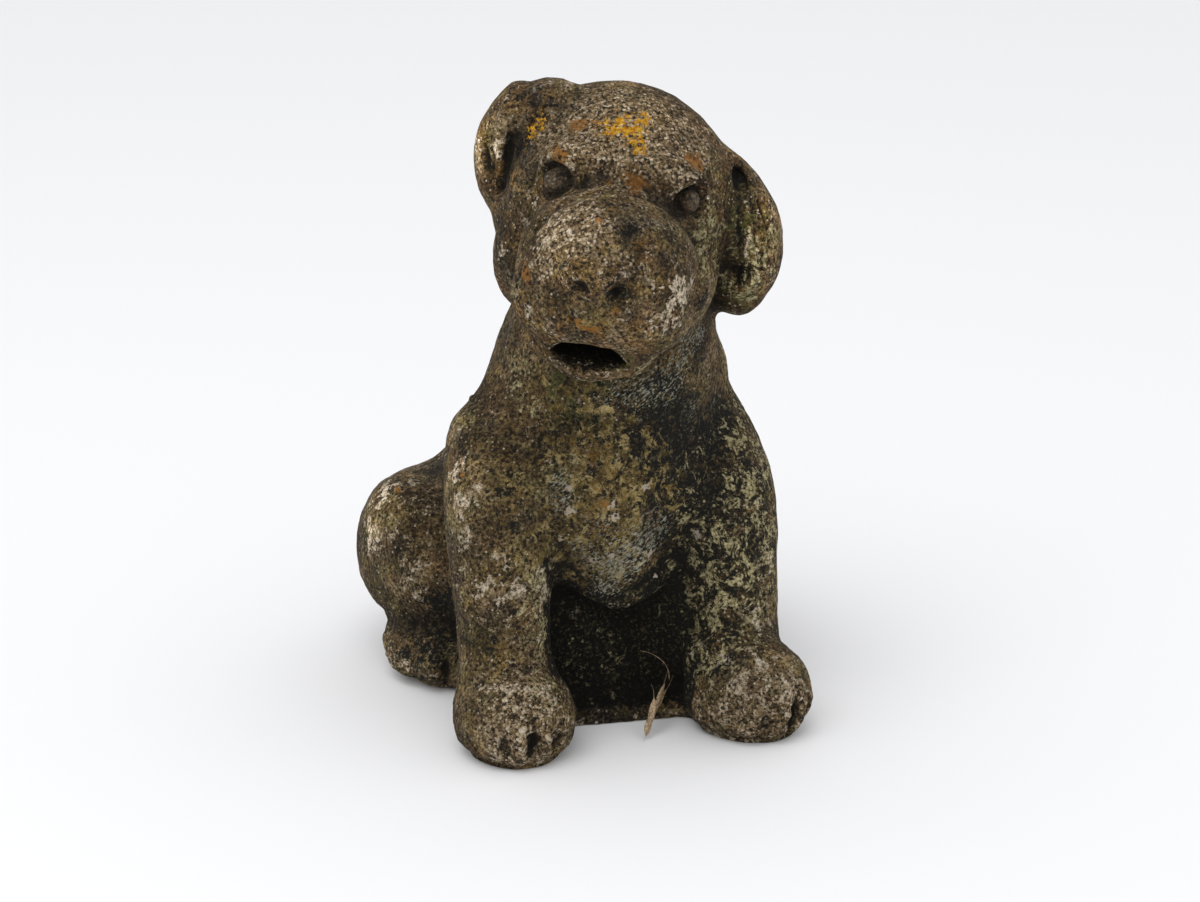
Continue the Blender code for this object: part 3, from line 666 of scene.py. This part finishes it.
def stone_finish():
    """Weathered cast stone: cement, bare grains, then black crust and painted shade, crusts, moss, chalk,
    a silvery coat with a painted sheen, lichen, and painted light and shade.
    """
    finish, tree = new_finish("weathered cast stone")
    where = put(tree, "ShaderNodeTexCoord").outputs["Object"]
    broad = blots(tree, where, BROAD_SIZE, 3, 0.55)
    crumb = blots(tree, moved(tree, where, 0.31), CRUMB_SIZE, 9, 0.80)
    flake = blots(tree, moved(tree, where, 0.53), FLAKE_SIZE, 9, 0.76, 0.4)
    wormy = blots(tree, moved(tree, where, 0.77), WORM_SIZE, 9, 0.74, 0.9)
    scale = blots(tree, moved(tree, where, 0.93), SCALE_SIZE, 9, 0.78, 0.5)
    fine = blots(tree, where, FINE_SIZE, 4, 0.75)

    mixed = reckon(tree, "MULTIPLY_ADD", crumb, 0.28, reckon(tree, "MULTIPLY", broad, 0.30))
    tone = ramp(tree, reckon(tree, "MULTIPLY_ADD", fine, 0.42, mixed), 0.14, 0.88)
    colour = tones(tree, tone, BROWN)
    warm = blots(tree, moved(tree, where, 0.11), WARM_SIZE, 3, 0.6)
    warm = reckon(tree, "MULTIPLY", amount_of(tree, "warm"), warm)
    colour = tinted(tree, colour, RED_TINT, warm)
    olive = blots(tree, moved(tree, where, 0.23), OLIVE_SIZE, 4, 0.6)
    colour = tinted(tree, colour, OLIVE_TINT, reckon(tree, "MULTIPLY", olive, 0.8))

    cells = put(tree, "ShaderNodeTexVoronoi", Vector=where, Scale=1000 / SAND_SIZE)
    cell = put(tree, "ShaderNodeSeparateColor", Color=cells.outputs["Color"])
    cell, chance = cell.outputs[0], cell.outputs[1]
    gap = ramp(tree, cells.outputs["Distance"], 0.58, 0.76)
    mixed = reckon(tree, "MULTIPLY_ADD", cell, 0.60, reckon(tree, "MULTIPLY", crumb, 0.18))
    mixed = reckon(tree, "MULTIPLY_ADD", fine, 0.22, mixed)
    sand = tones(tree, ramp(tree, mixed, 0.10, 0.90), SAND)
    # Dirt and painted shade: the gaps between the sand grains are near black.
    sand = coat(tree, sand, GAP, reckon(tree, "MULTIPLY", gap, 0.92))
    density = amount_of(tree, "bare_grain")
    bare = patches(tree, flake, density, 1.0, 0.04, 0.3)
    colour = coat(tree, colour, sand, bare)
    grain = ramp(tree, reckon(tree, "MULTIPLY_ADD", fine, 0.2, cells.outputs["Distance"]), 0.56, 0.44)
    grit = reckon(tree, "MULTIPLY", grain, patches(tree, chance, density, 0.14, 0.11, 0.02))
    colour = coat(tree, colour, tones(tree, cell, GRIT), grit)

    moss = patches(tree, crumb, amount_of(tree, "moss"), 0.9, 0.0, 0.35)
    colour = coat(tree, colour, MOSS_FILM, reckon(tree, "MULTIPLY", moss, 0.7))
    # Brown grime, and painted shade in the broad hollows.
    grime_and_shade = patches(tree, flake, amount_of(tree, "grime_and_shade"), 1.15, 0.0, 0.4)
    colour = coat(tree, colour, tones(tree, fine, GRIME_AND_SHADE_BROWN), reckon(tree, "MULTIPLY", grime_and_shade, 0.85))
    # Black crust, and painted shade in the nostrils, the pits, the mouth and the recess between the
    # forelegs.
    soot_and_shade = patches(tree, crumb, amount_of(tree, "soot_and_shade"), 1.12, 0.04, 0.16)
    colour = coat(tree, colour, tones(tree, fine, BLACK), soot_and_shade)
    ochre = patches(tree, scale, amount_of(tree, "ochre"), 0.66, 0.03, 0.12)
    colour = coat(tree, colour, tones(tree, crumb, OCHRE_CRUST), ochre)
    density = amount_of(tree, "khaki")
    khaki = patches(tree, wormy, density, 0.54, 0.0, 0.07)
    drops = put(tree, "ShaderNodeTexVoronoi", Vector=moved(tree, where, 0.19), Scale=1000 / DROP_SIZE)
    share = put(tree, "ShaderNodeSeparateColor", Color=drops.outputs["Color"]).outputs[0]
    round_off = ramp(tree, reckon(tree, "MULTIPLY_ADD", fine, 0.18, drops.outputs["Distance"]), 0.44, 0.36)
    dots = reckon(tree, "MULTIPLY", round_off, patches(tree, share, density, 0.45, 0.0, 0.02))
    khaki = reckon(tree, "MAXIMUM", khaki, dots)
    colour = coat(tree, colour, tones(tree, fine, CRUST), khaki)
    pale = patches(tree, flake, amount_of(tree, "pale"), 0.75, 0.0, 0.16)
    colour = coat(tree, colour, tones(tree, fine, CHALK), reckon(tree, "MULTIPLY", pale, 0.92))
    rust = patches(tree, scale, amount_of(tree, "rust"), 1.15, 0.0, 0.25)
    colour = coat(tree, colour, RUST_BROWN, reckon(tree, "MULTIPLY", rust, 0.85))

    along = put(tree, "ShaderNodeMapping", {"vector_type": "TEXTURE"}, Vector=where)
    along.inputs["Rotation"].default_value = (0, math.radians(-38), 0)
    along.inputs["Scale"].default_value = (2.4, 1, 1)
    hairs = blots(tree, along.outputs[0], HAIR_SIZE, 3, 0.6)
    # The silvery coat in hairs along the chest; its pale tones are partly a painted sheen.
    film_and_sheen = patches(tree, hairs, amount_of(tree, "silver_and_sheen"), 0.9, 0.0, 0.4)
    colour = coat(tree, colour, tones(tree, hairs, FILM_AND_SHEEN), reckon(tree, "MULTIPLY", film_and_sheen, 0.75))
    spots = ramp(tree, reckon(tree, "MULTIPLY_ADD", fine, 0.3, amount_of(tree, "spots")), 0.34, 0.46)
    colour = coat(tree, colour, SPOT_PINK, spots)
    colour = coat(tree, colour, GAP, reckon(tree, "MULTIPLY", ramp(tree, fine, 0.16, 0.05), 0.8))
    # Air holes, near black with dirt and painted shade in them.
    holes = put(tree, "ShaderNodeTexVoronoi", Vector=moved(tree, where, 0.41), Scale=1000 / HOLE_SIZE)
    rare = put(tree, "ShaderNodeSeparateColor", Color=holes.outputs["Color"]).outputs[0]
    hole = reckon(tree, "MULTIPLY_ADD", rare, 0.22, reckon(tree, "MULTIPLY_ADD", fine, -0.10, 0.20))
    hole = ramp(tree, reckon(tree, "SUBTRACT", holes.outputs["Distance"], hole), 0.03, -0.03)
    hole = reckon(tree, "MULTIPLY", hole, ramp(tree, rare, 0.50, 0.54))
    colour = coat(tree, colour, GAP, reckon(tree, "MULTIPLY", hole, 0.85))
    eyes = amount_of(tree, "eyes")
    colour = coat(tree, colour, tones(tree, fine, EYE_TONES), reckon(tree, "MULTIPLY", eyes, 0.45))
    # Painted light and shade with the stone's own tone: the colour doubled or halved by the shade.
    factor = reckon(tree, "POWER", 2.0, amount_of(tree, "shade"))
    colour = put(tree, "ShaderNodeVectorMath", {"operation": "SCALE"}, _0=colour, Scale=factor).outputs[0]
    crumbs = blots(tree, moved(tree, where, 0.67), LICHEN_SIZE, 6, 0.72)
    lichen = patches(tree, crumbs, amount_of(tree, "lichen"), 0.80, 0.0, 0.08)
    colour = coat(tree, colour, tones(tree, fine, ORANGE), lichen)
    # Dirt and painted shade: the small hollows darkened nearly to black.
    colour = coat(tree, colour, HOLLOW_DIRT_AND_SHADE, reckon(tree, "MULTIPLY", amount_of(tree, "hollow"), 0.9))

    rough = reckon(tree, "MULTIPLY_ADD", film_and_sheen, -0.35, reckon(tree, "MULTIPLY_ADD", soot_and_shade, -0.1, 0.88))
    rough = reckon(tree, "MULTIPLY_ADD", eyes, -0.3, rough)
    height = reckon(tree, "MULTIPLY_ADD", gap, reckon(tree, "MULTIPLY", bare, -0.9), crumb)
    height = reckon(tree, "MULTIPLY_ADD", fine, 0.9, height)
    height = reckon(tree, "MULTIPLY_ADD", hole, -1.2, reckon(tree, "MULTIPLY_ADD", grit, 0.5, height))
    height = reckon(tree, "MULTIPLY_ADD", khaki, 0.3, height)
    height = reckon(tree, "MULTIPLY_ADD", reckon(tree, "MULTIPLY", hairs, film_and_sheen), 0.9, height)
    relief = put(tree, "ShaderNodeBump", Strength=0.9, Distance=0.0007, Height=height)
    surface = put(tree, "ShaderNodeBsdfPrincipled", Base_Color=colour, Roughness=rough,
                  Normal=relief.outputs[0])
    gloss = reckon(tree, "MULTIPLY_ADD", eyes, 0.15, reckon(tree, "MULTIPLY_ADD", film_and_sheen, 0.15, 0.2))
    tree.links.new(gloss, surface.inputs["Specular IOR Level"])
    put(tree, "ShaderNodeOutputMaterial", Surface=surface.outputs[0])
    return finish


skin.materials.clear()
skin.materials.append(stone_finish())
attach(puppy, "root")
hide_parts("puppy_statue")

# The dry grass floret
# A withered floret of wild grass, blown in and caught between the paws: papery husks with thin awns,
# and a curl of its stalk. It stands on the ground and leans on the left paw; nothing fixes it.
HUSKS = (
    ((3.4, -64.0, 1.4), (6.0, -60.4, 4.8), (9.6, -55.4, 8.0), (13.0, -51.0, 10.6), 2.3),
    ((5.4, -61.4, 3.6), (8.8, -57.0, 7.4), (13.0, -51.6, 11.0), (17.0, -47.0, 14.6), 2.1),
    ((6.2, -60.0, 4.2), (10.4, -54.4, 7.4), (15.0, -48.4, 9.6), (18.6, -44.6, 11.2), 1.8),
    ((4.8, -62.0, 3.2), (6.8, -60.2, 7.0), (8.0, -59.0, 10.6), (8.8, -58.2, 14.2), 1.3),
)
AWNS = (
    ((3.6, -63.8, 1.6), (2.8, -64.8, 0.9), (2.2, -65.8, 0.25)),
    ((12.6, -51.6, 10.4), (16.0, -47.6, 13.8), (19.0, -44.4, 18.4)),
    ((8.6, -58.4, 13.6), (8.4, -58.6, 17.0), (7.4, -58.8, 20.0)),
    ((17.8, -45.6, 10.8), (20.4, -42.6, 12.2), (22.4, -40.8, 14.8)),
)
STALK = ((20.6, -41.4, 13.4), (20.6, -40.6, 16.4), (19.0, -40.4, 19.8), (16.6, -39.4, 22.2),
         (13.6, -37.8, 23.8), (10.6, -36.8, 24.6))
AWN_RADIUS, STALK_RADIUS, STREAK_SIZE = 0.11, 0.2, 0.7
STRAW, STRAW_DARK = (0.46, 0.34, 0.20, 1), (0.13, 0.08, 0.04, 1)


def blade(stops, width, sides=10, cup=0.45):
    """A tube along the curve: its width swells as a power of the sine of the way along, and its depth is
    a part of its width."""
    line = curve_through(stops)
    way = np.linspace(0, 1, len(line))
    swell = np.maximum(np.sin(np.pi * way) ** 0.8, 0.04) * width
    return tube(line, swell, swell * cup, sides)


def tube(line, half_width, half_depth, sides):
    """A closed tube: at each step of the line an ellipse across it, with the end ones as caps. A point of
    it is the line's, plus the width times the cosine, plus the depth times the sine."""
    along = np.gradient(line, axis=0)
    along /= np.linalg.norm(along, axis=1)[:, None]
    across = np.cross(along, (0.35, 0.8, 0.5))
    across /= np.linalg.norm(across, axis=1)[:, None]
    rise = np.cross(across, along)
    turn = np.linspace(0, 2 * np.pi, sides, endpoint=False)
    ring = (line[:, None, :]
            + across[:, None, :] * (half_width[:, None] * np.cos(turn))[:, :, None]
            + rise[:, None, :] * (half_depth[:, None] * np.sin(turn))[:, :, None])
    steps = len(line)
    row, column = np.meshgrid(np.arange(steps - 1), np.arange(sides), indexing="ij")
    following = (column + 1) % sides
    quads = np.stack([row * sides + column, row * sides + following,
                      (row + 1) * sides + following, (row + 1) * sides + column], axis=-1)
    caps = [list(range(sides))[::-1], [(steps - 1) * sides + k for k in range(sides)]]
    return ring.reshape(-1, 3), quads.reshape(-1, 4).tolist() + caps


def joined(parts):
    """Several point and face lists as one."""
    corners, faces, start = [], [], 0
    for part_points, part_faces in parts:
        corners.append(part_points)
        faces += [[index + start for index in face] for face in part_faces]
        start += len(part_points)
    return np.vstack(corners), faces


def thread(stops, radius):
    """A thin round tube along the curve, of that radius at its start and two fifths of it at its end."""
    line = curve_through(stops)
    size = np.linspace(radius, radius * 0.4, len(line))
    return tube(line, size, size, 6)


floret_points, floret_faces = joined(
    [blade(husk[:4], husk[4]) for husk in HUSKS]
    + [thread(awn, AWN_RADIUS) for awn in AWNS] + [thread(STALK, STALK_RADIUS)])
floret_mesh = bpy.data.meshes.new("dry_floret")
floret_mesh.from_pydata((floret_points * MILLIMETRE).tolist(), [], floret_faces)
floret_mesh.shade_smooth()
turned = bmesh.new()
turned.from_mesh(floret_mesh)
bmesh.ops.recalc_face_normals(turned, faces=turned.faces)
turned.to_mesh(floret_mesh)
turned.free()
floret = bpy.data.objects.new("dry_floret", floret_mesh)
bpy.context.scene.collection.objects.link(floret)


def straw_finish():
    """Dry straw: pale and brown streaks that run along the husks."""
    finish, tree = new_finish("dry straw")
    where = put(tree, "ShaderNodeTexCoord").outputs["Object"]
    along = put(tree, "ShaderNodeMapping", Vector=where)
    along.inputs["Rotation"].default_value = (math.radians(30), 0, math.radians(-35))
    along.inputs["Scale"].default_value = (1, 0.2, 1)
    streaks = blots(tree, along.outputs[0], STREAK_SIZE, 3, 0.6)
    colour = coat(tree, STRAW_DARK, STRAW, streaks)
    relief = put(tree, "ShaderNodeBump", Strength=0.5, Distance=0.0002, Height=streaks)
    surface = put(tree, "ShaderNodeBsdfPrincipled", Base_Color=colour, Roughness=0.7,
                  Normal=relief.outputs[0])
    put(tree, "ShaderNodeOutputMaterial", Surface=surface.outputs[0])
    return finish


floret_mesh.materials.append(straw_finish())
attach(floret, "root")

# The floor and the light
# A wide pale floor, a soft white surround, and one large soft lamp high on the left, as in a light tent.
FLOOR_HALF, FLOOR_DROP, FLOOR_TINT = 12.0, 0.0003, (0.835, 0.835, 0.845, 1)
LAMP_PLACE, LAMP_AIM, LAMP_WIDTH, LAMP_WATTS = (-0.7, -0.7, 1.7), (0, 0, 0.1), 1.4, 12.5
SURROUND_TINT, SURROUND_STRENGTH = (0.985, 0.99, 1.0, 1), 0.97


def floor():
    """One square, far wider than the view, just under the statue's base."""
    mesh = bpy.data.meshes.new("pale_floor")
    span, drop = FLOOR_HALF, -FLOOR_DROP
    mesh.from_pydata([(-span, -span, drop), (span, -span, drop), (span, span, drop), (-span, span, drop)],
                     [], [(0, 1, 2, 3)])
    finish, tree = new_finish("pale floor")
    surface = put(tree, "ShaderNodeBsdfPrincipled", Base_Color=FLOOR_TINT, Roughness=0.9)
    put(tree, "ShaderNodeOutputMaterial", Surface=surface.outputs[0])
    mesh.materials.append(finish)
    ground = bpy.data.objects.new("pale_floor", mesh)
    bpy.context.scene.collection.objects.link(ground)
    return ground


floor()


def soft_lamp(name, place, aim, width, watts):
    """A square lamp at a place, turned to its aim."""
    lamp = bpy.data.lights.new(name, "AREA")
    lamp.shape, lamp.size, lamp.energy = "SQUARE", width, watts
    holder = bpy.data.objects.new(name, lamp)
    holder.location = place
    holder.rotation_euler = (Vector(place) - Vector(aim)).to_track_quat("Z", "Y").to_euler()
    bpy.context.scene.collection.objects.link(holder)


soft_lamp("key_lamp", LAMP_PLACE, LAMP_AIM, LAMP_WIDTH, LAMP_WATTS)
surround = bpy.data.worlds.new("soft_surround")
surround.use_nodes = True
surround.node_tree.nodes["Background"].inputs["Color"].default_value = SURROUND_TINT
surround.node_tree.nodes["Background"].inputs["Strength"].default_value = SURROUND_STRENGTH
bpy.context.scene.world = surround
bpy.context.scene.view_settings.view_transform = "Standard"

# The camera
# It stands a little to the statue's right and looks down at it.
AIM = Vector((0.0094, 0.0090, 0.090))
AZIMUTH, ELEVATION, AWAY, LENS = math.radians(-18), math.radians(18), 1.2, 93.5
back = Vector((math.sin(AZIMUTH) * math.cos(ELEVATION), -math.cos(AZIMUTH) * math.cos(ELEVATION),
               math.sin(ELEVATION)))
camera = bpy.data.objects.new("camera", bpy.data.cameras.new("camera"))
camera.data.lens, camera.data.sensor_width = LENS, 36
camera.location = AIM + AWAY * back
camera.rotation_euler = back.to_track_quat("Z", "Y").to_euler()
bpy.context.scene.collection.objects.link(camera)
bpy.context.scene.camera = camera
